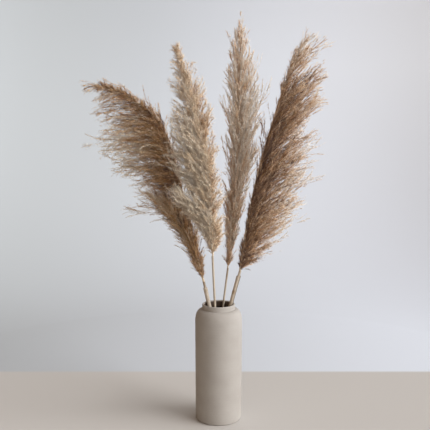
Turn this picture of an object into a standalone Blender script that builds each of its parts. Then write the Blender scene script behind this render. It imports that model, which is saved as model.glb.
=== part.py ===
"""Four dried pampas plumes standing in a tall ceramic vase. Metres, +Z up, origin under the vase's centre."""

from math import cos, hypot, pi, radians, sin

import bmesh
import bpy
from mathutils import Vector

# Driving dimensions, in metres
GAP = 0.0003  # clearance between touching pieces

VASE_HEIGHT = 0.300
VASE_RADIUS = 0.060
FOOT_RADIUS = 0.0590  # the body narrows a little towards its foot
FOOT_FILLET = 0.004
RIM_RADIUS = 0.042
MOUTH_RADIUS = 0.037
COLLAR_HEIGHT = 0.013
SHOULDER_DROP = 0.034  # height of the shoulder's round
SHOULDER_POWER = 2.4  # 2 would be an ellipse; higher is squarer
WALL = 0.0065
FLOOR = 0.012
FLOOR_FILLET = 0.004
VASE_STEPS = 40
LEAN_HEIGHT = VASE_HEIGHT - 0.002  # where a leaning stem touches the mouth

SHEATH_WALL = 0.0010
SHEATH_TURN = radians(300)
SHEATH_SIDES = 16
FINE_PLACES = 200  # places along a stem that are tested against its sheath's ends
SHEATH_SKIP = 9  # one in so many of them carries a ring of the sheath
STEM_SPACING = 0.012
STEM_TAPER = 0.85  # top radius over foot radius
PATH_STEP = 0.01  # share of a path over which its direction is taken

PLUME_SIDES = 16
PLUME_RINGS = 42
PLUME_LOCKS = 7  # slanting locks of hair along a plume
LOCK_DEPTH = 0.09  # how far the hollows between locks reach, as a share of the half width
LOCK_SLANT = 0.8  # turns by which a lock at the edge lies above where it left the middle
PLUME_NECK = 1.25  # base radius of a plume over the top radius of its stem
PLUME_SWELL = 0.6  # below 1, a plume reaches its full thickness sooner
PLUME_THINNING = 0.6  # how much of its thickness a plume has lost at the tip
TIP_HALF = 0.002

COLOURS = {
    "ceramic": ((0.37, 0.33, 0.29), 0.75),
    "straw": ((0.56, 0.48, 0.36), 0.6),
    "dry_leaf": ((0.62, 0.52, 0.38), 0.65),
    "plume_brown": ((0.24, 0.15, 0.09), 0.9),
    "plume_cream": ((0.52, 0.42, 0.31), 0.9),
    "plume_tan": ((0.40, 0.30, 0.20), 0.9),
}

# Stems: radius at the foot, foot on the vase floor (x, y), the place on the mouth that it leans towards
# (x, y), and its top, where the plume begins (x, y, z)
STEMS = {
    "left": (0.0040, (0.035, -0.025), (-0.0255, 0.0180), (-0.0385, 0.0265, 0.350)),
    "centre_left": (0.0032, (0.005, -0.008), (-0.0090, -0.0323), (-0.0150, -0.0420, 0.430)),
    "centre_right": (0.0030, (-0.017, 0.020), (0.0135, 0.0309), (0.0245, 0.0345, 0.385)),
    "right": (0.0040, (-0.034, 0.027), (0.0310, -0.0030), (0.0540, -0.0130, 0.386)),
}

# Sheaths: bottom and top height, and the direction their open edge faces
SHEATHS = {
    "left": (0.200, 0.338, radians(40)),
    "right": (0.215, 0.374, radians(200)),
}

# Plumes, from the first station above the stem to the tip: left edge (x, z) and right edge (x, z),
# then the depth: y at the tip and the greatest half thickness
PLUMES = {
    "left": (
        "plume_brown",
        [
            ((-0.068, 0.405), (-0.056, 0.420)),
            ((-0.096, 0.462), (-0.073, 0.475)),
            ((-0.135, 0.510), (-0.090, 0.550)),
            ((-0.190, 0.550), (-0.104, 0.625)),
            ((-0.245, 0.592), (-0.120, 0.700)),
            ((-0.290, 0.645), (-0.140, 0.762)),
            ((-0.315, 0.715), (-0.177, 0.805)),
            ((-0.325, 0.785), (-0.243, 0.850)),
            ((-0.345, 0.835), (-0.300, 0.872)),
        ],
        (-0.352, 0.866),
        0.055,
        0.034,
    ),
    "centre_left": (
        "plume_cream",
        [
            ((-0.034, 0.475), (0.008, 0.462)),
            ((-0.068, 0.523), (0.018, 0.510)),
            ((-0.112, 0.567), (0.021, 0.577)),
            ((-0.104, 0.635), (0.008, 0.650)),
            ((-0.117, 0.710), (-0.002, 0.720)),
            ((-0.128, 0.775), (-0.010, 0.790)),
            ((-0.123, 0.840), (-0.028, 0.852)),
            ((-0.118, 0.900), (-0.062, 0.903)),
        ],
        (-0.104, 0.942),
        -0.050,
        0.036,
    ),
    "centre_right": (
        "plume_tan",
        [
            ((0.017, 0.440), (0.043, 0.440)),
            ((0.014, 0.512), (0.059, 0.512)),
            ((0.014, 0.600), (0.078, 0.588)),
            ((0.010, 0.690), (0.101, 0.670)),
            ((0.012, 0.780), (0.114, 0.760)),
            ((0.018, 0.870), (0.108, 0.860)),
            ((0.030, 0.960), (0.086, 0.950)),
        ],
        (0.061, 1.050),
        0.052,
        0.032,
    ),
    "right": (
        "plume_brown",
        [
            ((0.061, 0.450), (0.108, 0.415)),
            ((0.074, 0.545), (0.160, 0.465)),
            ((0.097, 0.640), (0.205, 0.535)),
            ((0.121, 0.735), (0.232, 0.620)),
            ((0.145, 0.815), (0.252, 0.715)),
            ((0.163, 0.885), (0.264, 0.810)),
            ((0.180, 0.945), (0.262, 0.890)),
        ],
        (0.222, 0.986),
        -0.022,
        0.036,
    ),
}


def clear_scene():
    for item in list(bpy.data.objects):
        bpy.data.objects.remove(item, do_unlink=True)


def new_collection(name):
    collection = bpy.data.collections.new(name)
    bpy.context.scene.collection.children.link(collection)
    return collection


def new_material(name, colour, roughness):
    material = bpy.data.materials.new(name)
    material.use_nodes = True
    shader = material.node_tree.nodes["Principled BSDF"]
    shader.inputs["Base Color"].default_value = (*colour, 1.0)
    shader.inputs["Roughness"].default_value = roughness
    shader.inputs["Metallic"].default_value = 0.0
    return material


def add_object(name, data, slot):
    data.materials.append(MATERIALS[slot])
    item = bpy.data.objects.new(name, data)
    COLLECTION.objects.link(item)
    return item


def smooth_point(points, place):
    """The point at place (0 at the first, 1 at the last) of a Catmull-Rom curve through the points."""
    spans = len(points) - 1
    first = min(int(place * spans), spans - 1)
    u = place * spans - first
    here, there = points[first], points[first + 1]
    before = points[first - 1] if first > 0 else here * 2 - there
    after = points[first + 2] if first + 2 <= spans else there * 2 - here
    line = (there - before) * u
    square = (before * 2 - here * 5 + there * 4 - after) * u**2
    cube = (here * 3 - before - there * 3 + after) * u**3
    return here + (line + square + cube) * 0.5


def mesh_from_rings(name, rings, closed, ends):
    """A mesh that joins rings of the same number of points, each ring a loop where closed is true."""
    mesh = bpy.data.meshes.new(name)
    shape = bmesh.new()
    rows = [[shape.verts.new(point) for point in ring] for ring in rings]
    count = len(rows[0])
    for below, above in zip(rows, rows[1:]):
        for i in range(count if closed else count - 1):
            j = (i + 1) % count
            shape.faces.new((below[i], below[j], above[j], above[i]))
    if ends:
        shape.faces.new(list(reversed(rows[0])))
        shape.faces.new(rows[-1])
    shape.normal_update()
    shape.to_mesh(mesh)
    shape.free()
    mesh.shade_smooth()
    return mesh


def superellipse(width, height, share):
    """A point on a quarter of the shoulder's round: share 0 is its top, 1 its widest."""
    power = 2 / SHOULDER_POWER
    angle = share * pi / 2
    return width * sin(angle) ** power, height * cos(angle) ** power


def vase_profile():
    """From the middle of the inner floor, up inside, over the lip and down the outer side to the base."""
    shares = [i / 8 for i in range(9)]
    collar_foot = VASE_HEIGHT - COLLAR_HEIGHT
    shoulder_foot = collar_foot - SHOULDER_DROP
    inner_radius = VASE_RADIUS - WALL
    inner_foot = FOOT_RADIUS - WALL
    lip = (RIM_RADIUS - MOUTH_RADIUS) / 2
    profile = [(0.0, FLOOR)]
    for share in shares[::2]:
        angle = share * pi / 2
        across = inner_foot - FLOOR_FILLET * (1 - sin(angle))
        profile.append((across, FLOOR + FLOOR_FILLET * (1 - cos(angle))))
    for share in reversed(shares):
        out, up = superellipse(inner_radius - MOUTH_RADIUS, SHOULDER_DROP - WALL / 2, share)
        profile.append((MOUTH_RADIUS + out, shoulder_foot + up))
    for i in range(7):
        angle = pi - i * pi / 6
        across = (RIM_RADIUS + MOUTH_RADIUS) / 2 + lip * cos(angle)
        profile.append((across, VASE_HEIGHT - lip + lip * sin(angle)))
    for share in shares:
        out, up = superellipse(VASE_RADIUS - RIM_RADIUS, SHOULDER_DROP, share)
        profile.append((RIM_RADIUS + out, shoulder_foot + up))
    for i in range(5):
        angle = i * pi / 8
        across = FOOT_RADIUS - FOOT_FILLET * (1 - cos(angle))
        profile.append((across, FOOT_FILLET * (1 - sin(angle))))
    profile.append((0.0, 0.0))
    return profile


def make_vase():
    points = vase_profile()
    mesh = bpy.data.meshes.new("vase")
    edges = [(i, i + 1) for i in range(len(points) - 1)]
    mesh.from_pydata([(across, 0.0, up) for across, up in points], edges, [])
    vase = add_object("vase", mesh, "ceramic")
    turn = vase.modifiers.new("Screw", "SCREW")
    turn.axis = "Z"
    turn.steps = VASE_STEPS
    turn.render_steps = VASE_STEPS
    turn.use_merge_vertices = True
    turn.merge_threshold = 0.00005
    turn.use_smooth_shade = True


def stem_points(name):
    """The three points that a stem's curve goes through: its foot, the mouth and its top."""
    radius, foot, mouth, top = STEMS[name]
    run = hypot(mouth[0] - foot[0], mouth[1] - foot[1])
    lean = run / hypot(run, LEAN_HEIGHT - FLOOR)
    foot_height = FLOOR + GAP + radius * lean
    return [Vector((*foot, foot_height)), Vector((*mouth, LEAN_HEIGHT)), Vector(top)]


def stem_place(name, place):
    """A stem's middle line, direction and radius at a place from 0 at its foot to 1 at its top."""
    points = stem_points(name)
    ahead = smooth_point(points, min(place + PATH_STEP, 1.0))
    behind = smooth_point(points, max(place - PATH_STEP, 0.0))
    radius = STEMS[name][0] * (1 - (1 - STEM_TAPER) * place)
    return smooth_point(points, place), (ahead - behind).normalized(), radius


def make_stem(name):
    foot, mouth, top = stem_points(name)
    count = round(((mouth - foot).length + (top - mouth).length) / STEM_SPACING)
    curve = bpy.data.curves.new(f"stem_{name}", "CURVE")
    curve.dimensions = "3D"
    curve.bevel_depth = 1.0
    curve.bevel_resolution = 2
    curve.use_fill_caps = True
    spline = curve.splines.new("POLY")
    spline.points.add(count)
    for i, point in enumerate(spline.points):
        middle, _, radius = stem_place(name, i / count)
        point.co = (*middle, 1.0)
        point.radius = radius
    add_object(f"stem_{name}", curve, "straw")


def make_sheath(name):
    """A dried leaf rolled round the stem, open down one side."""
    bottom, top, facing = SHEATHS[name]
    places = [i / FINE_PLACES for i in range(FINE_PLACES + 1)]
    inside = [place for place in places if bottom <= stem_place(name, place)[0].z <= top]
    first = facing + (2 * pi - SHEATH_TURN) / 2
    rings = []
    for place in inside[::SHEATH_SKIP]:
        middle, along, radius = stem_place(name, place)
        across = along.cross(Vector((0, 1, 0))).normalized()
        depth = along.cross(across)
        ring = []
        for i in range(SHEATH_SIDES + 1):
            angle = first + SHEATH_TURN * i / SHEATH_SIDES
            reach = across * cos(angle) + depth * sin(angle)
            ring.append(middle + reach * (radius + GAP))
        rings.append(ring)
    mesh = mesh_from_rings(f"sheath_{name}", rings, False, False)
    sheath = add_object(f"sheath_{name}", mesh, "dry_leaf")
    wall = sheath.modifiers.new("Solidify", "SOLIDIFY")
    wall.thickness = SHEATH_WALL
    wall.offset = 1.0
    wall.use_even_offset = True


def plume_stations(name):
    """Left and right edge points of a plume, the first pair at the top of its stem."""
    _, edges, tip, tip_y, _ = PLUMES[name]
    top, along, radius = stem_place(name, 1.0)
    base = top + along * GAP
    across = along.cross(Vector((0, -1, 0))).normalized()
    half = across * radius * PLUME_NECK
    lefts, rights = [base - half], [base + half]
    for i, (left, right) in enumerate(edges):
        share = sin(min((i + 1) / len(edges), 1.0) * pi / 2)
        y = top.y + (tip_y - top.y) * share
        lefts.append(Vector((left[0], y, left[1])))
        rights.append(Vector((right[0], y, right[1])))
    end = Vector((tip[0], tip_y, tip[1]))
    small = Vector((TIP_HALF, 0, 0))
    return [*lefts, end - small], [*rights, end + small]


def make_plume(name):
    """A closed body of the plume's outer shape, lofted between its left and right edges."""
    slot, _, _, _, thick = PLUMES[name]
    lefts, rights = plume_stations(name)
    middles = [(left + right) / 2 for left, right in zip(lefts, rights)]
    _, stem_along, stem_radius = stem_place(name, 1.0)
    neck = stem_radius * PLUME_NECK
    rings = []
    for i in range(PLUME_RINGS + 1):
        place = i / PLUME_RINGS
        middle = smooth_point(middles, place)
        half = smooth_point(rights, place) - middle
        ahead = smooth_point(middles, min(place + PATH_STEP, 1.0))
        behind = smooth_point(middles, max(place - PATH_STEP, 0.0))
        along = stem_along if i == 0 else (ahead - behind).normalized()
        swell = max(sin(pi * place), 0.0) ** PLUME_SWELL
        thickness = (neck + (thick - neck) * swell) * (1 - PLUME_THINNING * place**4)
        depth = along.cross(half).normalized() * thickness
        ring = []
        for j in range(PLUME_SIDES):
            turn = 2 * pi * j / PLUME_SIDES
            lock = cos(2 * pi * (PLUME_LOCKS * place - LOCK_SLANT * abs(cos(turn))))
            reach = 1 - LOCK_DEPTH * sin(pi * place) * (1 - lock)
            ring.append(middle + (half * cos(turn) + depth * sin(turn)) * reach)
        rings.append(ring)
    mesh = mesh_from_rings(f"plume_{name}", rings, True, True)
    add_object(f"plume_{name}", mesh, slot)


clear_scene()
COLLECTION = new_collection("pampas_bundle")
MATERIALS = {slot: new_material(slot, *look) for slot, look in COLOURS.items()}
make_vase()
for stem in STEMS:
    make_stem(stem)
for sheath in SHEATHS:
    make_sheath(sheath)
for plume in PLUMES:
    make_plume(plume)
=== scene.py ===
"""Four dried pampas plumes on straw stems in a tall stoneware vase: the looks, built round the frame."""

from math import cos, pi, radians, sin

import bpy
import numpy as np
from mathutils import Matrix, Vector
from mathutils.bvhtree import BVHTree


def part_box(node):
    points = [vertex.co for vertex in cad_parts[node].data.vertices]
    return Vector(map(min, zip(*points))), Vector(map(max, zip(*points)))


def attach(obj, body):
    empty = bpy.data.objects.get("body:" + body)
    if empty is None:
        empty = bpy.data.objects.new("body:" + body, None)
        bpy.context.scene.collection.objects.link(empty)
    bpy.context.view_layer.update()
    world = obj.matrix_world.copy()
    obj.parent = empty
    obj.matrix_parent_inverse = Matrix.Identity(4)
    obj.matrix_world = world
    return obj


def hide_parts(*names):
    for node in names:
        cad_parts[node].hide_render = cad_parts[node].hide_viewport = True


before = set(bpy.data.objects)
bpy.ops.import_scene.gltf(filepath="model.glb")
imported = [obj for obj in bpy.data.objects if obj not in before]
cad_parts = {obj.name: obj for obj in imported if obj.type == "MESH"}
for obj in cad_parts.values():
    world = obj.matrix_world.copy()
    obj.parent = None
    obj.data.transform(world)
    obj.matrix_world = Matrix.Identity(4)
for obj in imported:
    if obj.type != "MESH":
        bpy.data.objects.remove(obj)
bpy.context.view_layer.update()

# ---------------------------------------------------------------------------------------------------------
# Stage, camera and light
# A pale table top, swept up into a wall all round, so that every side has a plain ground behind it.
# One broad soft window lights the vase from the right and the front, and a dim room from everywhere.


def linear(hex_colour):
    """An sRGB hex colour as a linear RGBA tuple."""
    parts = [int(hex_colour[i : i + 2], 16) / 255 for i in (1, 3, 5)]
    return (*[p / 12.92 if p <= 0.04045 else ((p + 0.055) / 1.055) ** 2.4 for p in parts], 1.0)


def add_node(tree, kind, inputs=None, **settings):
    """A node with its settings; inputs maps a socket to a value, or to the (node, output) that feeds it."""
    node = tree.nodes.new(kind)
    for name, value in settings.items():
        setattr(node, name, value)
    for socket, value in (inputs or {}).items():
        if isinstance(value, tuple) and isinstance(value[0], bpy.types.Node):
            tree.links.new(value[0].outputs[value[1]], node.inputs[socket])
        else:
            node.inputs[socket].default_value = value
    return node


def start_material(name, **shader_values):
    """An empty material with a Principled shader, whose constant values are given by socket name."""
    material = bpy.data.materials.new(name)
    material.use_nodes = True
    tree = material.node_tree
    shader = tree.nodes["Principled BSDF"]
    for socket, value in shader_values.items():
        shader.inputs[socket.replace("_", " ")].default_value = value
    return material, tree, shader


def put_in_mesh(piece):
    """Leaves a piece's place, turn and size in its mesh and its object at the origin."""
    bpy.ops.object.select_all(action="DESELECT")
    piece.select_set(True)
    bpy.context.view_layer.objects.active = piece
    bpy.ops.object.transform_apply(location=True, rotation=True, scale=True)


# The table top is one flat disc; its paint turns to the wall's where the wall of a room would stand
TABLE_RADIUS = 1.1
STAGE_SIDES = 128
bpy.ops.object.select_all(action="DESELECT")
bpy.ops.mesh.primitive_circle_add(vertices=STAGE_SIDES, radius=TABLE_RADIUS, fill_type="NGON")
table = bpy.context.object
table.name = "table_top"

# The wall starts at the disc's rim, sweeps up and surrounds everything; only the camera sees it, so that it
# takes no light from the object
SWEEP_RADIUS = 1.6
SWEEP_STEPS = 24
WALL_HEIGHT = 4.5
bpy.ops.object.select_all(action="DESELECT")
bpy.ops.mesh.primitive_circle_add(vertices=STAGE_SIDES, radius=TABLE_RADIUS, fill_type="NOTHING")
backdrop = bpy.context.object
backdrop.name = "backdrop"
bpy.ops.object.mode_set(mode="EDIT")
bpy.ops.mesh.select_mode(type="EDGE")
bpy.ops.mesh.select_all(action="SELECT")
reach, height = TABLE_RADIUS, 0.0
for i in range(1, SWEEP_STEPS + 1):
    angle = i / SWEEP_STEPS * pi / 2
    new_reach = TABLE_RADIUS + SWEEP_RADIUS * sin(angle)
    new_height = SWEEP_RADIUS * (1 - cos(angle))
    bpy.ops.mesh.extrude_region_move(TRANSFORM_OT_translate={"value": (0, 0, new_height - height)})
    grow = new_reach / reach
    bpy.ops.transform.resize(value=(grow, grow, 1), center_override=(0, 0, new_height))
    reach, height = new_reach, new_height
bpy.ops.mesh.extrude_region_move(TRANSFORM_OT_translate={"value": (0, 0, WALL_HEIGHT - height)})
bpy.ops.mesh.select_all(action="SELECT")
bpy.ops.mesh.normals_make_consistent(inside=True)
bpy.ops.object.mode_set(mode="OBJECT")
bpy.ops.object.shade_smooth()
backdrop.visible_shadow = False
backdrop.visible_diffuse = False
backdrop.visible_glossy = False

# Matt paint: warm pale grey on the table, cool pale grey behind it, darkened by painted shade on the
# window's far side
WALL_AT = 0.335
WALL_LINE = 0.008
paint, tree, shader = start_material("matt_paint", Roughness=0.9)
place = add_node(tree, "ShaderNodeTexCoord")
apart = add_node(tree, "ShaderNodeSeparateXYZ", {"Vector": (place, "Object")})
across = add_node(
    tree,
    "ShaderNodeMapRange",
    {"Value": (apart, "X"), "From Min": -1.2, "From Max": 1.0},
    interpolation_type="SMOOTHSTEP",
)
# painted shade: the wall's grey deepens from the window's side to the far side
wall_tone_and_painted_shade = add_node(
    tree,
    "ShaderNodeMix",
    {"Factor": (across, "Result"), 6: linear("#abadac"), 7: linear("#dfe3e9")},
    data_type="RGBA",
)
behind = add_node(
    tree,
    "ShaderNodeMapRange",
    {"Value": (apart, "Y"), "From Min": WALL_AT - WALL_LINE, "From Max": WALL_AT + WALL_LINE},
)
tone = add_node(
    tree,
    "ShaderNodeMix",
    {"Factor": (behind, "Result"), 6: linear("#c2bcb4"), 7: (wall_tone_and_painted_shade, 2)},
    data_type="RGBA",
)
# The wall glows faintly, more with height and towards the window, as light bounces about a bright room
up_wall = add_node(tree, "ShaderNodeMapRange", {"Value": (apart, "Z"), "From Max": 1.2, "To Max": 0.26})
near_window = add_node(
    tree,
    "ShaderNodeMapRange",
    {"Value": (apart, "X"), "From Min": -0.6, "From Max": 1.3},
    interpolation_type="SMOOTHSTEP",
)
glow = add_node(
    tree, "ShaderNodeMath", {0: (up_wall, "Result"), 1: (near_window, "Result")}, operation="MULTIPLY"
)
tree.links.new(tone.outputs[2], shader.inputs["Base Color"])
shader.inputs["Emission Color"].default_value = linear("#eef2f8")
tree.links.new(glow.outputs[0], shader.inputs["Emission Strength"])
for piece in (table, backdrop):
    piece.data.materials.append(paint)

# The camera stands in front, level with the middle of the plumes, and looks slightly down
EYE_ACROSS = -0.0092
EYE_HEIGHT = 0.70
EYE_DISTANCE = 1.61
LOOK_DOWN = radians(6.12)
bpy.ops.object.camera_add(
    location=(EYE_ACROSS, -EYE_DISTANCE, EYE_HEIGHT), rotation=(pi / 2 - LOOK_DOWN, 0, 0)
)
camera = bpy.context.object
camera.data.sensor_width = 36
camera.data.lens = 53.9
bpy.context.scene.camera = camera

# The room: cool and bright on the window's side, warm and dim on the other, and a little brighter in front
# and behind than at the two sides
world = bpy.data.worlds.new("room_light")
world.use_nodes = True
tree = world.node_tree
sky = tree.nodes["Background"]
place = add_node(tree, "ShaderNodeTexCoord")
apart = add_node(tree, "ShaderNodeSeparateXYZ", {"Vector": (place, "Generated")})
across = add_node(
    tree,
    "ShaderNodeMapRange",
    {"Value": (apart, "X"), "From Min": -0.9, "From Max": 0.9},
    interpolation_type="SMOOTHSTEP",
)
room = add_node(
    tree,
    "ShaderNodeMix",
    {"Factor": (across, "Result"), 6: linear("#8c745a"), 7: linear("#f4f8ff")},
    data_type="RGBA",
)
square = add_node(tree, "ShaderNodeMath", {0: (apart, "Y"), 1: (apart, "Y")}, operation="MULTIPLY")
front_and_back = add_node(
    tree, "ShaderNodeMapRange", {"Value": (square, "Value"), "To Min": 0.85, "To Max": 1.35}
)
tree.links.new(room.outputs[2], sky.inputs["Color"])
tree.links.new(front_and_back.outputs["Result"], sky.inputs["Strength"])
bpy.context.scene.world = world
bpy.context.scene.view_settings.view_transform = "Standard"

# The window: so broad that its shadows have no edge
bpy.ops.object.light_add(type="SUN", location=(2, -1, 2))
window = bpy.context.object
window.name = "window"
window.data.energy = 3.3
window.data.angle = radians(50)
window.data.color = linear("#f8faff")[:3]
window.rotation_euler = Vector((-1.0, 0.40, -0.50)).to_track_quat("-Z", "Y").to_euler()

# ---------------------------------------------------------------------------------------------------------
# Vase
# Thrown stoneware, left unglazed outside: a tall straight body, a round shoulder and a short collar.
# A disc is drawn up and opened out ring by ring, over the lip and down inside, as the wall was raised.
_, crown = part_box("vase")
VASE_RADIUS = crown.x
VASE_HEIGHT = crown.z
VASE_FOOT = 0.059
EDGE_ROUND = 0.004
LIP_RADIUS = 0.042
MOUTH_RADIUS = 0.037
COLLAR = 0.013
SHOULDER = 0.034
SHOULDER_SQUARENESS = 0.833
WALL = 0.0065
FLOOR = 0.012
FLOOR_ROUND = 0.004
WALL_SIDES = 112


def shoulder_round(width, drop, share):
    """A point on the shoulder's squarish quarter round, from its top at share 0 to the wall at 1."""
    angle = share * pi / 2
    return width * sin(angle) ** SHOULDER_SQUARENESS, drop * cos(angle) ** SHOULDER_SQUARENESS


def vase_outline():
    """Radius and height up the outside, over the lip and down the inside to the floor's edge."""
    outline = []
    for i in range(1, 6):
        angle = i / 5 * pi / 2
        outline.append((VASE_FOOT - EDGE_ROUND * (1 - sin(angle)), EDGE_ROUND * (1 - cos(angle))))
    seat = VASE_HEIGHT - COLLAR - SHOULDER
    for i in range(1, 12):
        share = i / 12
        outline.append(
            (VASE_FOOT + (VASE_RADIUS - VASE_FOOT) * share, EDGE_ROUND + (seat - EDGE_ROUND) * share)
        )
    for i in range(13):
        out, up = shoulder_round(VASE_RADIUS - LIP_RADIUS, SHOULDER, 1 - i / 12)
        outline.append((LIP_RADIUS + out, seat + up))
    # a shallow finger groove under the lip
    outline.append((LIP_RADIUS - 0.0004, VASE_HEIGHT - COLLAR + 0.003))
    outline.append((LIP_RADIUS - 0.0003, VASE_HEIGHT - COLLAR + 0.006))
    lip = (LIP_RADIUS - MOUTH_RADIUS) / 2
    for i in range(9):
        angle = i / 8 * pi
        outline.append((LIP_RADIUS - lip + lip * cos(angle), VASE_HEIGHT - lip + lip * sin(angle)))
    for i in range(9):
        out, up = shoulder_round(VASE_RADIUS - WALL - MOUTH_RADIUS, SHOULDER - WALL / 2, i / 8)
        outline.append((MOUTH_RADIUS + out, seat + up))
    for share in (0.75, 0.5, 0.25):
        inner = VASE_RADIUS - WALL - 0.001 * (1 - share)
        outline.append((inner, FLOOR + FLOOR_ROUND + (seat - FLOOR) * share))
    for i in range(5):
        angle = i / 4 * pi / 2
        outline.append(
            (VASE_FOOT - WALL - FLOOR_ROUND * (1 - cos(angle)), FLOOR + FLOOR_ROUND * (1 - sin(angle)))
        )
    return outline


bpy.ops.object.select_all(action="DESELECT")
reach, height = VASE_FOOT - EDGE_ROUND, 0.0
bpy.ops.mesh.primitive_circle_add(vertices=WALL_SIDES, radius=reach, fill_type="TRIFAN")
vase = bpy.context.object
vase.name = "stoneware_vase"
bpy.ops.object.mode_set(mode="EDIT")
bpy.ops.mesh.select_mode(type="EDGE")
bpy.ops.mesh.select_all(action="DESELECT")
bpy.ops.mesh.select_non_manifold()
for new_reach, new_height in vase_outline():
    bpy.ops.mesh.extrude_region_move(TRANSFORM_OT_translate={"value": (0, 0, new_height - height)})
    grow = new_reach / reach
    bpy.ops.transform.resize(value=(grow, grow, 1), center_override=(0, 0, new_height))
    reach, height = new_reach, new_height
# the floor inside closes in two rings and a middle point
for share in (0.6, 0.3):
    bpy.ops.mesh.extrude_region_move()
    bpy.ops.transform.resize(value=(share * 0.9, share * 0.9, 1), center_override=(0, 0, height))
bpy.ops.mesh.merge(type="CENTER")
bpy.ops.mesh.select_all(action="SELECT")
bpy.ops.mesh.normals_make_consistent(inside=False)
bpy.ops.object.mode_set(mode="OBJECT")
bpy.ops.object.shade_smooth_by_angle(angle=radians(40))

# Stoneware: matt, faintly mottled where the kiln's heat varied, with iron specks and soft throwing rings
MOTTLE = 0.045
SPECK = 0.0011
THROWING_RING = 0.007
WAVE_BAND = 3.2  # the wave texture draws about this many bands in one unit at scale 1
GRIT = 0.0006
clay, tree, shader = start_material("stoneware", IOR=1.5)
place = add_node(tree, "ShaderNodeTexCoord")
mottle = add_node(
    tree, "ShaderNodeTexNoise", {"Vector": (place, "Object"), "Scale": 1 / MOTTLE, "Detail": 3.0}
)
cloud = add_node(
    tree,
    "ShaderNodeMix",
    {"Factor": (mottle, "Fac"), 6: linear("#9b9389"), 7: linear("#afa89f")},
    data_type="RGBA",
)
specks = add_node(
    tree, "ShaderNodeTexNoise", {"Vector": (place, "Object"), "Scale": 1 / SPECK, "Detail": 2.0}
)
sparse = add_node(
    tree, "ShaderNodeMapRange", {"Value": (specks, "Fac"), "From Min": 0.66, "From Max": 0.74}
)
body = add_node(
    tree,
    "ShaderNodeMix",
    {"Factor": (sparse, "Result"), 6: (cloud, 2), 7: linear("#857a6e")},
    data_type="RGBA",
)
rings = add_node(
    tree,
    "ShaderNodeTexWave",
    {"Vector": (place, "Object"), "Scale": 1 / THROWING_RING / WAVE_BAND, "Distortion": 1.5, "Detail": 1.0},
    bands_direction="Z",
)
grit = add_node(
    tree, "ShaderNodeTexNoise", {"Vector": (place, "Object"), "Scale": 1 / GRIT, "Detail": 2.0}
)
soft_rings = add_node(
    tree, "ShaderNodeBump", {"Height": (rings, "Fac"), "Strength": 0.10, "Distance": 0.0004}
)
surface = add_node(
    tree,
    "ShaderNodeBump",
    {"Height": (grit, "Fac"), "Strength": 0.35, "Distance": 0.0002, "Normal": (soft_rings, "Normal")},
)
matt = add_node(tree, "ShaderNodeMapRange", {"Value": (mottle, "Fac"), "To Min": 0.72, "To Max": 0.9})
tree.links.new(body.outputs[2], shader.inputs["Base Color"])
tree.links.new(matt.outputs["Result"], shader.inputs["Roughness"])
tree.links.new(surface.outputs["Normal"], shader.inputs["Normal"])
vase.data.materials.append(clay)

# Inside, a thin glaze that keeps the clay from drinking water, smoother than the bare outside; its dark
# brown is painted shade, the shadow deep inside the vase
GLAZE_AND_PAINTED_SHADE_TOP = VASE_HEIGHT - 0.0045
GLAZE_RUN_WIDTH = 0.006
GLAZE_RUN_LENGTH = 0.04
glaze_with_painted_shade, tree, shader = start_material("inner_glaze_painted_shade", Roughness=0.4, IOR=1.5)
place = add_node(tree, "ShaderNodeTexCoord")
runs = add_node(
    tree,
    "ShaderNodeMapping",
    {"Vector": (place, "Object"), "Scale": (1 / GLAZE_RUN_WIDTH, 1 / GLAZE_RUN_WIDTH, 1 / GLAZE_RUN_LENGTH)},
)
pools = add_node(tree, "ShaderNodeTexNoise", {"Vector": (runs, "Vector"), "Scale": 1.0, "Detail": 3.0})
# painted shade: the dark browns of the inside, varied along the glaze's runs
depth = add_node(
    tree,
    "ShaderNodeMix",
    {"Factor": (pools, "Fac"), 6: linear("#3f3026"), 7: linear("#5d4a3c")},
    data_type="RGBA",
)
orange_peel = add_node(
    tree, "ShaderNodeBump", {"Height": (pools, "Fac"), "Strength": 0.2, "Distance": 0.0003}
)
tree.links.new(depth.outputs[2], shader.inputs["Base Color"])
tree.links.new(orange_peel.outputs["Normal"], shader.inputs["Normal"])
vase.data.materials.append(glaze_with_painted_shade)
# what faces the middle, or is the floor, has the glaze with its painted shade; the lip and the underside are
# left bare
for face in vase.data.polygons:
    inwards = face.normal.x * face.center.x + face.normal.y * face.center.y < 0
    on_floor = face.normal.z > 0.5 and face.center.z < FLOOR + 0.006
    if (inwards or on_floor) and EDGE_ROUND * 2 < face.center.z < GLAZE_AND_PAINTED_SHADE_TOP:
        face.material_index = 1
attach(vase, "root")
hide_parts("vase")

# ---------------------------------------------------------------------------------------------------------
# Stems
# Grass culms, dried to straw: smooth, faintly ribbed lengthwise, with a swollen joint low down. Each is a
# disc drawn up its own lean, from the vase's floor to where its plume begins.


def middle_line(node):
    """The middle of a slim, leaning CAD piece at any height: a smooth curve through its surface points."""
    points = np.array([v.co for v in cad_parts[node].data.vertices])
    across = np.polyfit(points[:, 2], points[:, 0], 3)
    deep = np.polyfit(points[:, 2], points[:, 1], 3)
    return lambda height: Vector((np.polyval(across, height), np.polyval(deep, height), height))


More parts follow.
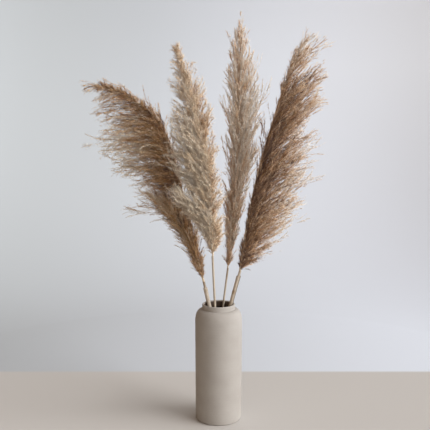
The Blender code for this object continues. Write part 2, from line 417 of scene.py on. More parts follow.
# Straw: pale gold with darker stains, and long thin fibres that catch the light
FIBRE = 0.0009
FIBRES_ALONG = 12.0
STAIN = 0.03
straw, tree, shader = start_material("dry_straw", Roughness=0.55, IOR=1.5)
place = add_node(tree, "ShaderNodeTexCoord")
stretch = add_node(
    tree, "ShaderNodeMapping", {"Vector": (place, "Object"), "Scale": (1 / FIBRE, 1 / FIBRE, FIBRES_ALONG)}
)
fibres = add_node(tree, "ShaderNodeTexNoise", {"Vector": (stretch, "Vector"), "Scale": 1.0, "Detail": 2.0})
stains = add_node(
    tree, "ShaderNodeTexNoise", {"Vector": (place, "Object"), "Scale": 1 / STAIN, "Detail": 3.0}
)
grain = add_node(
    tree,
    "ShaderNodeMix",
    {"Factor": (fibres, "Fac"), 6: linear("#8f7d68"), 7: linear("#d2c5b2")},
    data_type="RGBA",
)
worn = add_node(tree, "ShaderNodeMapRange", {"Value": (stains, "Fac"), "From Min": 0.55, "From Max": 0.8})
aged = add_node(
    tree,
    "ShaderNodeMix",
    {"Factor": (worn, "Result"), 6: (grain, 2), 7: linear("#8a735a")},
    data_type="RGBA",
)
ribs = add_node(tree, "ShaderNodeBump", {"Height": (fibres, "Fac"), "Strength": 0.5, "Distance": 0.0003})
tree.links.new(aged.outputs[2], shader.inputs["Base Color"])
tree.links.new(ribs.outputs["Normal"], shader.inputs["Normal"])

CULM_SIDES = 20
CULM_STEP = 0.008
CULM_TAPER = 0.85
CULM_LIFT = 0.0012
JOINT_SWELL = 0.14
JOINT_LENGTH = 0.004
JOINT_RING = 0.003
# stem: its radius at the foot and the height of its joint
CULMS = {
    "left": (0.0040, 0.150),
    "centre_left": (0.0032, 0.236),
    "centre_right": (0.0030, 0.205),
    "right": (0.0040, 0.128),
}


def culm_radius(name, height, low, high):
    """A culm's radius at a height: it tapers upwards and swells at its joint."""
    foot_radius, joint = CULMS[name]
    share = (height - low) / (high - low)
    swell = 1 + JOINT_SWELL * np.exp(-(((height - joint) / JOINT_LENGTH) ** 2))
    return foot_radius * (1 - (1 - CULM_TAPER) * share) * swell


for name, (_, joint) in CULMS.items():
    low, high = (corner.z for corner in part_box(f"stem_{name}"))
    middle = middle_line(f"stem_{name}")
    low += CULM_LIFT
    levels = sorted(
        [*np.arange(low, high, CULM_STEP), high, joint - JOINT_RING, joint, joint + JOINT_RING]
    )
    bpy.ops.object.select_all(action="DESELECT")
    bpy.ops.mesh.primitive_circle_add(
        vertices=CULM_SIDES, radius=culm_radius(name, low, low, high), fill_type="NGON", location=middle(low)
    )
    culm = bpy.context.object
    culm.name = f"culm_{name}"
    put_in_mesh(culm)
    bpy.ops.object.mode_set(mode="EDIT")
    bpy.ops.mesh.select_mode(type="EDGE")
    bpy.ops.mesh.select_all(action="SELECT")
    for below, above in zip(levels, levels[1:]):
        step = middle(above) - middle(below)
        bpy.ops.mesh.extrude_region_move(TRANSFORM_OT_translate={"value": step})
        grow = culm_radius(name, above, low, high) / culm_radius(name, below, low, high)
        bpy.ops.transform.resize(value=(grow, grow, 1), center_override=middle(above))
    bpy.ops.mesh.select_all(action="SELECT")
    bpy.ops.mesh.normals_make_consistent(inside=False)
    bpy.ops.object.mode_set(mode="OBJECT")
    bpy.ops.object.shade_smooth_by_angle(angle=radians(40))
    culm.data.materials.append(straw)
    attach(culm, "root")
    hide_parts(f"stem_{name}")

# ---------------------------------------------------------------------------------------------------------
# Sheaths
# The lowest part of a grass leaf, still rolled round the two thick culms: papery, ribbed and open down one
# side. An open ring is drawn up the culm, widened a little at its mouth, and given a thin wall.
SHEATH_WALL = 0.0007
SHEATH_GAP = 0.0004
SHEATH_SIDES = 48
SHEATH_OPEN = 8
SHEATH_RINGS = 26
SHEATH_TRIM = 0.001
SHEATH_FLARE = 0.03
# sheath: its radius at the bottom and top, and how far round the culm its open side is turned
SHEATHS = {"left": (0.0046, 0.0045, radians(40)), "right": (0.0046, 0.0045, radians(200))}

# Dry leaf: paler than straw, matt, with close parallel veins
VEIN = 0.0007
VEINS_ALONG = 9.0
LEAF_STAIN = 0.018
leaf, tree, shader = start_material("dry_leaf", Roughness=0.7, IOR=1.45)
place = add_node(tree, "ShaderNodeTexCoord")
stretch = add_node(
    tree, "ShaderNodeMapping", {"Vector": (place, "Object"), "Scale": (1 / VEIN, 1 / VEIN, VEINS_ALONG)}
)
veins = add_node(tree, "ShaderNodeTexNoise", {"Vector": (stretch, "Vector"), "Scale": 1.0, "Detail": 1.0})
stains = add_node(
    tree, "ShaderNodeTexNoise", {"Vector": (place, "Object"), "Scale": 1 / LEAF_STAIN, "Detail": 4.0}
)
grain = add_node(
    tree,
    "ShaderNodeMix",
    {"Factor": (veins, "Fac"), 6: linear("#a08d76"), 7: linear("#dccfbc")},
    data_type="RGBA",
)
worn = add_node(tree, "ShaderNodeMapRange", {"Value": (stains, "Fac"), "From Min": 0.5, "From Max": 0.75})
aged = add_node(
    tree,
    "ShaderNodeMix",
    {"Factor": (worn, "Result"), 6: (grain, 2), 7: linear("#98805f")},
    data_type="RGBA",
)
ribs = add_node(tree, "ShaderNodeBump", {"Height": (veins, "Fac"), "Strength": 0.6, "Distance": 0.0003})
tree.links.new(aged.outputs[2], shader.inputs["Base Color"])
tree.links.new(ribs.outputs["Normal"], shader.inputs["Normal"])

for name, (wide, narrow, facing) in SHEATHS.items():
    low, high = (corner.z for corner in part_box(f"sheath_{name}"))
    middle = middle_line(f"stem_{name}")
    levels = np.linspace(low + SHEATH_TRIM, high - SHEATH_TRIM, SHEATH_RINGS)
    bpy.ops.object.select_all(action="DESELECT")
    bpy.ops.mesh.primitive_circle_add(
        vertices=SHEATH_SIDES,
        radius=wide + SHEATH_GAP,
        fill_type="NOTHING",
        location=middle(levels[0]),
        rotation=(0, 0, facing),
    )
    sheath = bpy.context.object
    sheath.name = f"leaf_sheath_{name}"
    put_in_mesh(sheath)
    bpy.ops.object.mode_set(mode="EDIT")
    bpy.ops.mesh.select_mode(type="VERT")
    bpy.ops.mesh.select_all(action="DESELECT")
    bpy.ops.object.mode_set(mode="OBJECT")
    for vertex in sheath.data.vertices:
        vertex.select = vertex.index < SHEATH_OPEN  # the side that stays open
    bpy.ops.object.mode_set(mode="EDIT")
    bpy.ops.mesh.delete(type="VERT")
    bpy.ops.mesh.select_mode(type="EDGE")
    bpy.ops.mesh.select_all(action="SELECT")
    for i, (below, above) in enumerate(zip(levels, levels[1:])):
        step = middle(above) - middle(below)
        bpy.ops.mesh.extrude_region_move(TRANSFORM_OT_translate={"value": step})
        grow = 1 - (1 - narrow / wide) / SHEATH_RINGS + (SHEATH_FLARE if i > SHEATH_RINGS - 5 else 0)
        bpy.ops.transform.resize(value=(grow, grow, 1), center_override=middle(above))
    bpy.ops.mesh.select_all(action="SELECT")
    bpy.ops.mesh.normals_make_consistent(inside=False)
    bpy.ops.object.mode_set(mode="OBJECT")
    wall = sheath.modifiers.new("wall", "SOLIDIFY")
    wall.thickness = SHEATH_WALL
    wall.offset = 0.0
    bpy.ops.object.modifier_apply(modifier="wall")
    bpy.ops.object.shade_smooth_by_angle(angle=radians(50))
    sheath.data.materials.append(leaf)
    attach(sheath, "root")
    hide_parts(f"sheath_{name}")

# ---------------------------------------------------------------------------------------------------------
# Plumes
# The flower head of pampas grass: a thin axis with many side branches, each branch and its twigs clad in
# silky hairs. A strand is modelled once, as a slim three-sided spike, and laid along every branch and hair.


def model_spike(segments):
    """A closed three-sided spike, one unit tall, with rings so that it can bend. Its points and faces."""
    bpy.ops.object.select_all(action="DESELECT")
    bpy.ops.mesh.primitive_cone_add(vertices=3, radius1=1, radius2=0, depth=1, location=(0, 0, 0.5))
    spike = bpy.context.object
    put_in_mesh(spike)
    bpy.ops.object.mode_set(mode="EDIT")
    for i in range(1, segments):
        bpy.ops.mesh.select_all(action="SELECT")
        bpy.ops.mesh.bisect(plane_co=(0, 0, i / segments), plane_no=(0, 0, 1))
    bpy.ops.object.mode_set(mode="OBJECT")
    points = np.array([v.co for v in spike.data.vertices])
    faces = [list(face.vertices) for face in spike.data.polygons]
    bpy.data.objects.remove(spike)
    return points, faces


def unit(vectors):
    """The same directions, one long."""
    return vectors / np.maximum(np.linalg.norm(vectors, axis=-1, keepdims=True), 1e-12)


STRAND_ON_MAP = 0.0020
MAP_EDGE = 0.004


def lay_spikes(spike, routes, radii, tones, casts, random):
    """One spike laid along each route (strands x steps x 3): its points, its faces and its places on the
    map, whose U is the strand's tone from root to tip and whose V is its cast."""
    points, faces = spike
    at = np.rint(points[:, 2] * (routes.shape[1] - 1)).astype(int)
    along = unit(np.gradient(routes, axis=1))
    side = unit(np.cross(along, unit(random.normal(size=(len(routes), 1, 3)))))
    other = np.cross(along, side)
    places = routes[:, at]
    places = places + side[:, at] * (points[:, 0] * radii[:, None])[..., None]
    places = places + other[:, at] * (points[:, 1] * radii[:, None])[..., None]
    width = STRAND_ON_MAP * points[:, :2] / np.maximum(np.hypot(points[:, 0], points[:, 1]), 1e-6)[:, None]
    tone = tones[:, :1] + (tones[:, 1:] - tones[:, :1]) * points[None, :, 2]
    maps = np.stack([tone, np.repeat(casts[:, None], len(points), 1)], 2) + width
    return places, faces, np.clip(maps, MAP_EDGE, 1 - MAP_EDGE)


def mesh_of_spikes(name, groups):
    """One mesh from several lots of laid spikes."""
    points, loops, starts, maps = [], [], [], []
    before, corners = 0, 0
    for places, faces, uv in groups:
        strands, count, _ = places.shape
        flat = np.concatenate([np.array(face) for face in faces])
        lengths = np.array([len(face) for face in faces])
        loops.append((flat[None] + before + np.arange(strands)[:, None] * count).ravel())
        first = np.concatenate([[0], np.cumsum(lengths)[:-1]])
        starts.append((first[None] + corners + np.arange(strands)[:, None] * len(flat)).ravel())
        maps.append(uv[:, flat].reshape(-1, 2))
        points.append(places.reshape(-1, 3))
        before += strands * count
        corners += strands * len(flat)
    points, loops = np.concatenate(points), np.concatenate(loops)
    starts, maps = np.concatenate(starts), np.concatenate(maps)
    mesh = bpy.data.meshes.new(name)
    mesh.vertices.add(len(points))
    mesh.vertices.foreach_set("co", points.astype(np.float32).ravel())
    mesh.loops.add(len(loops))
    mesh.loops.foreach_set("vertex_index", loops.astype(np.int32))
    mesh.polygons.add(len(starts))
    mesh.polygons.foreach_set("loop_start", starts.astype(np.int32))
    mesh.polygons.foreach_set("use_smooth", np.ones(len(starts), bool))
    layer = mesh.uv_layers.new(name="OFBake", do_init=False)
    layer.uv.foreach_set("vector", maps.astype(np.float32).ravel())
    mesh.update(calc_edges=True)
    mesh.validate()
    return mesh


def smooth_route(points, count):
    """Evenly shared places on a Catmull-Rom curve through the points."""
    points = np.array(points, float)
    ends = np.vstack([2 * points[0] - points[1], points, 2 * points[-1] - points[-2]])
    places = np.linspace(0, len(points) - 1, count)
    first = np.minimum(places.astype(int), len(points) - 2)
    u = (places - first)[:, None]
    a, b, c, d = (ends[first + k] for k in range(4))
    return b + 0.5 * u * (c - a + u * (2 * a - 5 * b + 4 * c - d + u * (3 * (b - c) + d - a)))


def bow(root, knee, tip, steps):
    """Curves from root to tip that set out towards the knee."""
    u = np.linspace(0, 1, steps)[:, None]
    return root[:, None] * (1 - u) ** 2 + knee[:, None] * 2 * u * (1 - u) + tip[:, None] * u**2


def ripple(curves, height, random):
    """Gives each curve a gentle wave that grows from its root."""
    count, steps, _ = curves.shape
    length = np.linalg.norm(curves[:, -1] - curves[:, 0], axis=1)[:, None]
    u = np.linspace(0, 1, steps)[None]
    along = unit(curves[:, -1] - curves[:, 0])
    for _ in range(2):
        sideways = unit(np.cross(along, random.normal(size=along.shape)))
        turns = length / random.uniform(0.05, 0.11, (count, 1))
        wave = np.sin(2 * pi * (turns * u + random.uniform(0, 1, (count, 1)))) * u * length * height
        curves = curves + sideways[:, None] * wave[..., None]
    return curves


DEPTH_FREE = 0.074
DEPTH_LIMIT = 0.095


def keep_close(places):
    """Presses what stands far in front of or behind the bundle back towards it."""
    depth = np.abs(places[..., 1])
    pressed = DEPTH_LIMIT - (DEPTH_LIMIT - DEPTH_FREE) * np.exp(
        -np.maximum(depth - DEPTH_FREE, 0) / (DEPTH_LIMIT - DEPTH_FREE)
    )
    places[..., 1] = np.sign(places[..., 1]) * np.where(depth > DEPTH_FREE, pressed, depth)
    return places


def at_share(curves, share):
    """The place and the direction on each curve at a share of its length."""
    spot = share * (curves.shape[1] - 1)
    low = np.minimum(spot.astype(int), curves.shape[1] - 2)
    rows = np.arange(len(curves))
    a, b = curves[rows, low], curves[rows, low + 1]
    return a + (b - a) * (spot - low)[:, None], unit(b - a)


def plume_hair(name, colours):
    """Dry silky hair: matt, with a soft sheen. The map's U runs from a dark root's colour, used for painted
    shade, to a bleached tip's pale one, used also for painted light, and V shifts each branch a little
    between grey and warm."""
    material, tree, shader = start_material(name, Roughness=0.8, IOR=1.45)
    shader.inputs["Sheen Weight"].default_value = 0.2
    shader.inputs["Sheen Roughness"].default_value = 0.6
    shader.inputs["Specular IOR Level"].default_value = 0.2
    place = add_node(tree, "ShaderNodeUVMap", uv_map="OFBake")
    apart = add_node(tree, "ShaderNodeSeparateXYZ", {"Vector": (place, "UV")})
    ramp = add_node(tree, "ShaderNodeValToRGB", {"Fac": (apart, "X")})
    stops = ramp.color_ramp.elements
    stops[0].color = linear(colours[0])
    stops[1].color = linear(colours[-1])
    for i in range(1, len(colours) - 1):
        stops.new(i / (len(colours) - 1)).color = linear(colours[i])
    warmth = add_node(tree, "ShaderNodeMapRange", {"Value": (apart, "Y"), "To Min": 0.8, "To Max": 1.1})
    tint = add_node(
        tree, "ShaderNodeHueSaturation", {"Color": (ramp, "Color"), "Saturation": (warmth, "Result")}
    )
    tree.links.new(tint.outputs["Color"], shader.inputs["Base Color"])
    return material


# The hairs are drawn several times thicker and fewer than real ones, which are too fine to show
HAIR_SPIKE = model_spike(1)
TWIG_SPIKE = model_spike(2)
BRANCH_SPIKE = model_spike(8)
AXIS_SPIKE = model_spike(40)
AXIS_POINTS = 161
BRANCH_POINTS = 17
TWIG_POINTS = 9
BRANCH_RADIUS = 0.0006
TWIG_RADIUS = 0.0003
SIDE_ROWS = (12, 159)
CROWN_ROWS = (120, 159)
TIPS_IN_A_LOCK = 7
WISP_SPREAD = 0.003
BARE_SIDE = 2.2
COST_OF_LENGTH = 400
AXIS_TONE = np.array([[0.8, 0.6]])
AXIS_CAST = np.array([0.5])


def spread_tips(name, axis, tangent, look, random):
    """Where a plume's branches end, and which of them are stray wisps. Half the tips are spread under the
    wall of its CAD solid. The rest are cast outwards to that wall from the axis: from its foot, all along
    it and near its crown. All then draw a little together into locks, and the wisps are added."""
    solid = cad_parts[f"plume_{name}"]
    corners = [v.co.copy() for v in solid.data.vertices]
    walls = BVHTree.FromPolygons(corners, [tuple(face.vertices) for face in solid.data.polygons])
    low, high = (np.array(corner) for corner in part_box(f"plume_{name}"))
    branches = look["branches"]
    tips = []
    while len(tips) < branches // 2:
        place = Vector(random.uniform(low, high))
        wall, normal, _, gap = walls.find_nearest(place)
        if (place - wall).dot(normal) > 0:
            gap = -gap
        if -look["proud"] < gap < random.exponential(look["depth"]):
            tips.append(place)
    while len(tips) < branches:
        part = random.choice(["foot", "side", "crown"], p=look["shares"])
        row = random.integers(*{"foot": look["foot_rows"], "side": SIDE_ROWS, "crown": CROWN_ROWS}[part])
        outwards = Vector(unit(np.cross(tangent[row], random.normal(size=3))))
        wall = walls.ray_cast(Vector(axis[row]), outwards)[0]
        if wall is None:
            continue
        reach = (wall - Vector(axis[row])).length
        if part == "side" and reach < random.uniform(0, look["fullest"]):
            continue
        proud = look["proud"] + (look["foot_proud"] if part == "foot" else 0)
        tips.append(wall + outwards * (proud - min(random.exponential(look["depth"] * 0.6), reach * 0.8)))
    tip = np.array(tips)
    leader = tip[random.choice(branches, branches // TIPS_IN_A_LOCK, replace=False)]
    nearest = np.linalg.norm(tip[:, None] - leader[None], axis=2).argmin(1)
    tips = list(tip + (leader[nearest] - tip) * look["gather"])
    for x, z, strands in look["wisps"]:
        y = axis[np.abs(axis[:, 2] - z).argmin(), 1]
        spread = WISP_SPREAD * strands**0.5
        tips.extend(Vector((x, y, z) + random.normal(size=3) * spread) for _ in range(strands))
    return np.array(tips), np.arange(len(tips)) >= branches


def grow_branches(axis, tangent, tip, look, random):
    """Curves from the axis to the tips, with their lengths and where along the axis they spring from. Each
    springs from where it makes its natural angle with the axis, and sets out along it."""
    chord = tip[:, None] - axis[None]
    span = np.linalg.norm(chord, axis=2)
    angle = np.degrees(np.arccos(np.clip((chord * tangent[None]).sum(2) / span, -1, 1)))
    # on a one-sided plume, branches to the bare side stay much closer to the axis
    angle *= np.where(chord[..., 0] * look["full_side"] < 0, BARE_SIDE, 1.0)
    along = np.linspace(0, 1, AXIS_POINTS)
    natural = np.interp(along, np.linspace(0, 1, len(look["angles"])), look["angles"])
    misfit = np.abs(angle - natural * random.uniform(0.8, 1.2, (len(tip), 1)))
    misfit += COST_OF_LENGTH * np.maximum(span - look["longest"], 0)
    at = misfit[:, :-5].argmin(1)
    root = axis[at]
    length = np.linalg.norm(tip - root, axis=1)
    knee = root + tangent[at] * (look["set_out"] * length)[:, None]
    knee[:, 2] += look["droop"] * length
    wood = keep_close(ripple(bow(root, knee, tip, BRANCH_POINTS), look["wave"], random))
    return wood, length, at / (AXIS_POINTS - 1)


def grow_twigs(wood, length, look, random):
    """Twigs that make each branch a tapering lock, with their lengths and the branch that each is on."""
    count = np.maximum((length * look["twigs"]).astype(int), 2)
    owner = np.repeat(np.arange(len(wood)), count)
    fork = random.uniform(0.06, 0.92, len(owner))
    joint, way = at_share(wood[owner], fork)
    twig_length = (0.42 - 0.25 * fork) * length[owner] * random.uniform(0.5, 1.2, len(owner))
    twig_length = np.clip(twig_length, 0.010, (1 - fork) * length[owner] + 0.016)
    aside = unit(np.cross(way, random.normal(size=way.shape)))
    opening = np.tan(np.radians(look["twig_lean"]) * random.uniform(0.3, 1.3, len(owner)))[:, None]
    twig_tip = joint + unit(way + aside * opening) * twig_length[:, None]
    twig_tip[:, 2] -= 0.5 * look["droop"] * twig_length
    twigs = bow(joint, joint + way * 0.5 * twig_length[:, None], twig_tip, TWIG_POINTS)
    return keep_close(ripple(twigs, look["wave"], random)), twig_length, owner


def grow_hairs(wood, length, twigs, twig_length, owner, look, random):
    """Hairs that lie forwards on the twigs and on the outer part of the branches: their routes, where they
    sit, the branch each is on, whether it is on a twig, and which."""
    hairs = look["hairs"]
    lengths = np.concatenate([length * 0.5, twig_length])
    chosen = np.sort(random.choice(len(lengths), hairs, p=lengths / lengths.sum()))
    is_twig = chosen >= len(wood)
    twig_row = np.maximum(chosen - len(wood), 0)
    whose = np.where(is_twig, owner[twig_row], np.minimum(chosen, len(wood) - 1))
    where = random.uniform(0, 1, hairs) ** 0.7
    seat, ahead = at_share(wood[whose], 0.12 + 0.88 * where)
    twig_seat, twig_ahead = at_share(twigs[twig_row], where)
    seat[is_twig], ahead[is_twig] = twig_seat[is_twig], twig_ahead[is_twig]
    aside = unit(np.cross(ahead, random.normal(size=ahead.shape)))
    open_by = np.radians(np.abs(random.normal(look["hair_lean"], look["hair_lean"] * 0.4, hairs)))[:, None]
    strand_way = ahead * np.cos(open_by) + aside * np.sin(open_by)
    strand_way[:, 2] -= look["droop"] * 0.5
    strand = look["hair_length"] * random.uniform(0.5, 1.2, hairs) * (1 - 0.35 * where**2)
    routes = keep_close(np.stack([seat, seat + unit(strand_way) * strand[:, None]], 1))
    return routes, seat, whose, is_twig, twig_row


def grow_plume(name, material, seed, route, look):
    """Grows a plume inside its CAD solid, from its axis outwards, and adds its pieces. Its look gives:
    branches, shares: how many, and how many of the cast tips are at its foot, its sides and its crown
    foot_rows: the stretch of the axis that is its foot
    proud, foot_proud, depth: how far tips pass the solid's wall, and how far they lie inside it
    fullest: the reach to that wall at which the sides are fullest
    full_side: -1 or 1 where the hair hangs to one side
    angles: a branch's angle with the axis, from foot to top
    longest, set_out: the longest branch, and how far a branch first follows the axis
    droop, wave: how far branches sag and waver
    twigs, twig_lean: how many in a metre of branch, and how far they open
    hairs, hair_length, hair_lean, hair_width: how many, and their size and opening
    gather: how far tips draw together into locks
    tones, breadth, fade: the tone at the axis and outside, the way between, and how the tone turns on it;
    the dark at the axis is painted shade of the plume's core, and the pale outside is painted light
    streak, heights, sides, wisp_tone: what each branch, height, side and wisp adds to the tone; what each
    height and side adds is painted light and shade
    wisps: the place across, the height and the number of strands of each stray lock"""
    random = np.random.default_rng(seed)
    stem_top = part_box(f"stem_{name}")[1].z
    base = middle_line(f"stem_{name}")(stem_top)
    axis = smooth_route([base, *route], AXIS_POINTS)
    tangent = unit(np.gradient(axis, axis=0))
    tip, wisp = spread_tips(name, axis, tangent, look, random)
    branches = len(tip)
    wood, length, share = grow_branches(axis, tangent, tip, look, random)
    twigs, twig_length, owner = grow_twigs(wood, length, look, random)
    hair = grow_hairs(wood, length, twigs, twig_length, owner, look, random)
    routes, seat, whose, is_twig, twig_row = hair

    cast = random.uniform(0.03, 0.97, branches)
    own = random.normal(0, look["streak"], branches) + look["wisp_tone"] * wisp
    # painted light and shade: each branch is paler or darker by the side of the axis that it grows to
    own += np.where(tip[:, 0] < wood[:, 0, 0], *look["sides"])
    own_twig = random.normal(0, look["streak"] * 0.7, len(owner))

    def tone_of(places, branch):
        """Dark near the axis and pale at the outside: painted shade in the plume's core and painted light on
        its outer hair. Each height and side adds painted light and shade, and each branch is a little its
        own.
        """
        away = np.min([np.linalg.norm(places - spot, axis=1) for spot in axis[::5]], axis=0)
        dark, pale = look["tones"]
        # painted shade and light: the tone rises from the dark axis to the pale outside
        outward = np.clip(away / look["breadth"], 0, 1) ** look["fade"]
        # painted light and shade: a tone added by height along the axis
        heights = np.interp(share, np.linspace(0, 1, len(look["heights"])), look["heights"])
        return dark + (pale - dark) * outward + (own + heights)[branch]

    hairs = look["hairs"]
    hair_tone = tone_of(seat, whose) + random.normal(0, 0.05, hairs) + own_twig[twig_row] * is_twig - 0.03
    tones = np.clip(np.stack([hair_tone, hair_tone + 0.14], 1), 0.01, 0.99)
    casts = np.clip(cast[whose] + random.normal(0, 0.06, hairs), 0.01, 0.99)
    radii = look["hair_width"] / 2 * random.uniform(0.8, 1.3, hairs)
    height = seat[:, 2]
    pieces = []
    half = np.median(height)
    for part, mask in (("lower", height <= half), ("upper", height > half)):
        laid = lay_spikes(HAIR_SPIKE, routes[mask], radii[mask], tones[mask], casts[mask], random)
        pieces.append(mesh_of_spikes(f"plume_{name}_{part}_hair", [laid]))

    # The axis goes on from the culm at its width and colour, and thins to nothing at the top
    thick = np.array([CULMS[name][0] * CULM_TAPER])
    rows = np.arange(branches)
    wood_tones = np.stack([tone_of(wood[:, 2], rows), tone_of(wood[:, -1], rows)], 1)
    twig_tones = np.stack([tone_of(twigs[:, 0], owner), tone_of(twigs[:, -1], owner)], 1)
    wood_tones, twig_tones = np.clip(wood_tones, 0.01, 0.99), np.clip(twig_tones, 0.01, 0.99)
    wide, fine = np.full(branches, BRANCH_RADIUS), np.full(len(owner), TWIG_RADIUS)
    pieces.append(
        mesh_of_spikes(
            f"plume_{name}_branches",
            [
                lay_spikes(AXIS_SPIKE, axis[None, ::4], thick, AXIS_TONE, AXIS_CAST, random),
                lay_spikes(BRANCH_SPIKE, wood[:, ::2], wide, wood_tones, cast, random),
                lay_spikes(TWIG_SPIKE, twigs[:, ::4], fine, twig_tones, cast[owner], random),
            ],
        )
    )
    for mesh in pieces:
        mesh.materials.append(material)
        piece = bpy.data.objects.new(mesh.name, mesh)
        bpy.context.scene.collection.objects.link(piece)
        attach(piece, "root")
        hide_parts(f"plume_{name}")


# Left plume: brown and nodding, its branches arching over to the outer side and hanging there, with a few
# long stray locks low down
grow_plume(
    "left",
    plume_hair("brown_plume_hair", ["#67442c", "#c08c59", "#deb27c", "#edd1a8", "#f6e8d0"]),
    1,
    [
        (-0.051, 0.027, 0.395),
        (-0.057, 0.030, 0.428),
        (-0.069, 0.037, 0.485),
        (-0.087, 0.044, 0.555),
        (-0.102, 0.050, 0.625),
        (-0.122, 0.054, 0.692),
        (-0.146, 0.055, 0.748),
        (-0.186, 0.055, 0.794),
        (-0.244, 0.055, 0.832),
        (-0.322, 0.055, 0.854),
    ],
    {
        "branches": 1150,
        "shares": (0.36, 0.47, 0.17),
        "foot_rows": (14, 64),
        "foot_proud": 0.006,
        "depth": 0.036,
        "proud": 0.005,
        "full_side": -1,
        "angles": (10, 42, 58, 54, 40, 24),
        "longest": 0.26,
        "set_out": 0.45,
        "droop": 0.08,
        "wave": 0.022,
        "twigs": 46,
        "twig_lean": 20,
        "hairs": 94000,
        "hair_length": 0.0138,
        "hair_lean": 22,
        "hair_width": 0.00074,
        "tones": (0.18, 1.0),
        "breadth": 0.13,
        "fullest": 0.08,
        "gather": 0.20,
        "fade": 0.9,
        "streak": 0.23,
        # painted light and shade: the tones added by height and by side
        "heights": (0.12, -0.06, -0.12, 0.0, 0.10, 0.24),
        "sides": (0.0, -0.1),
        "wisp_tone": -0.15,
        "wisps": [
            (-0.350, 0.692, 2),
            (-0.250, 0.527, 2),
            (-0.240, 0.545, 2),
            (-0.205, 0.548, 2),
            (-0.185, 0.600, 16),
            (-0.215, 0.625, 14),
            (-0.165, 0.570, 12),
            (-0.138, 0.625, 18),
            (-0.130, 0.600, 16),
            (-0.112, 0.575, 12),
            (-0.150, 0.605, 14),
            (-0.175, 0.632, 18),
            (-0.160, 0.618, 14),
            (-0.162, 0.594, 12),
            (-0.148, 0.586, 12),
            (-0.136, 0.594, 12),
            (-0.198, 0.610, 12),
        ],
    },
)

# Centre left plume: cream and woolly, full on both sides, with one lock hanging low on its outer side
grow_plume(
    "centre_left",
    plume_hair("cream_plume_hair", ["#b98e62", "#dbb58c", "#eed2ad", "#e9cfad", "#efdfc6"]),
    2,
    [
        (-0.013, -0.043, 0.475),
        (-0.018, -0.045, 0.530),
        (-0.023, -0.047, 0.640),
        (-0.044, -0.050, 0.735),
        (-0.066, -0.050, 0.820),
        (-0.092, -0.050, 0.900),
        (-0.103, -0.050, 0.938),
    ],
    {
        "branches": 940,
        "shares": (0.30, 0.54, 0.16),
        "foot_rows": (10, 60),
        "foot_proud": 0.002,
        "depth": 0.018,
        "proud": 0.003,
        "full_side": 0,
        "angles": (34, 30, 27, 22, 15),
        "longest": 0.20,
        "set_out": 0.38,
        "droop": 0.05,
        "wave": 0.028,
        "twigs": 56,
        "twig_lean": 23,
        "hairs": 90000,
        "hair_length": 0.0138,
        "hair_lean": 28,
        "hair_width": 0.00070,
        "tones": (0.38, 0.74),
        "breadth": 0.06,
        "fullest": 0.03,
        "gather": 0.10,
        "fade": 0.8,
        "streak": 0.20,
        # painted light and shade: the tones added by height and by side; the side towards the window is
        # darkened
        "heights": (0.42, 0.36, 0.24, 0.22, 0.32),
        "sides": (0.0, -0.42),
        "wisp_tone": 0.15,
        "wisps": [
            (-0.112, 0.580, 12),
            (-0.100, 0.560, 10),
            (-0.118, 0.606, 8),
            (-0.112, 0.735, 9),
            (-0.108, 0.690, 9),
            (-0.104, 0.650, 9),
        ],
    },
)

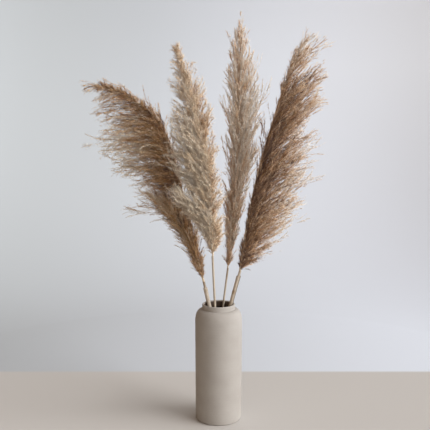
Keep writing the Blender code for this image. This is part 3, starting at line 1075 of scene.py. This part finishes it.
# Centre right plume: tan, tall and narrow, its branches held close to the axis
grow_plume(
    "centre_right",
    plume_hair("tan_plume_hair", ["#a5754a", "#d6a87c", "#eecba3", "#f7dfc2", "#fcefdd"]),
    3,
    [
        (0.029, 0.038, 0.430),
        (0.037, 0.044, 0.530),
        (0.045, 0.048, 0.650),
        (0.051, 0.051, 0.780),
        (0.056, 0.052, 0.920),
        (0.061, 0.052, 1.030),
    ],
    {
        "branches": 700,
        "shares": (0.22, 0.58, 0.20),
        "foot_rows": (14, 60),
        "foot_proud": 0.004,
        "depth": 0.018,
        "proud": 0.005,
        "full_side": 0,
        "angles": (16, 15, 14, 12, 9),
        "longest": 0.26,
        "set_out": 0.38,
        "droop": 0.0,
        "wave": 0.018,
        "twigs": 56,
        "twig_lean": 12,
        "hairs": 88000,
        "hair_length": 0.0120,
        "hair_lean": 15,
        "hair_width": 0.00070,
        "tones": (0.52, 1.0),
        "breadth": 0.055,
        "fullest": 0.025,
        "gather": 0.25,
        "fade": 0.8,
        "streak": 0.24,
        # painted light and shade: the tones added by height and by side
        "heights": (-0.18, -0.08, 0.06, 0.10, 0.12),
        "sides": (-0.06, 0.06),
        "wisp_tone": -0.10,
        "wisps": [(0.104, 0.930, 4), (0.125, 0.861, 4), (0.009, 0.815, 2), (0.022, 0.985, 2)],
    },
)

# Right plume: brown, leaning out, its branches fanned to the outer side
grow_plume(
    "right",
    plume_hair("dark_plume_hair", ["#603c23", "#b58659", "#dab48b", "#efd6b5", "#f8ecdb"]),
    4,
    [
        (0.061, -0.015, 0.440),
        (0.072, -0.017, 0.510),
        (0.087, -0.019, 0.590),
        (0.106, -0.021, 0.670),
        (0.129, -0.022, 0.750),
        (0.152, -0.022, 0.825),
        (0.176, -0.022, 0.885),
        (0.206, -0.022, 0.948),
    ],
    {
        "branches": 900,
        "shares": (0.32, 0.50, 0.18),
        "foot_rows": (6, 52),
        "foot_proud": 0.002,
        "depth": 0.030,
        "proud": 0.005,
        "full_side": 1,
        "angles": (44, 36, 29, 25, 21),
        "longest": 0.27,
        "set_out": 0.30,
        "droop": 0.0,
        "wave": 0.025,
        "twigs": 56,
        "twig_lean": 16,
        "hairs": 94000,
        "hair_length": 0.0120,
        "hair_lean": 18,
        "hair_width": 0.00070,
        "tones": (0.0, 0.80),
        "breadth": 0.12,
        "fullest": 0.05,
        "gather": 0.38,
        "fade": 1.0,
        "streak": 0.18,
        # painted light and shade: the tones added by height, paler towards the top
        "heights": (0.10, 0.02, -0.03, 0.05, 0.34, 0.75),
        "sides": (0.0, 0.0),
        "wisp_tone": 0.0,
        "wisps": [
            (0.262, 0.715, 2),
            (0.250, 0.629, 2),
            (0.209, 0.565, 2),
            (0.218, 0.535, 2),
            (0.254, 0.955, 4),
            (0.236, 0.962, 5),
            (0.212, 0.970, 6),
            (0.203, 0.945, 6),
            (0.228, 0.925, 7),
            (0.248, 0.905, 6),
            (0.254, 0.865, 5),
            (0.250, 0.820, 5),
            (0.108, 0.775, 3),
            (0.155, 0.480, 7),
            (0.130, 0.450, 7),
            (0.105, 0.425, 6),
        ],
    },
)
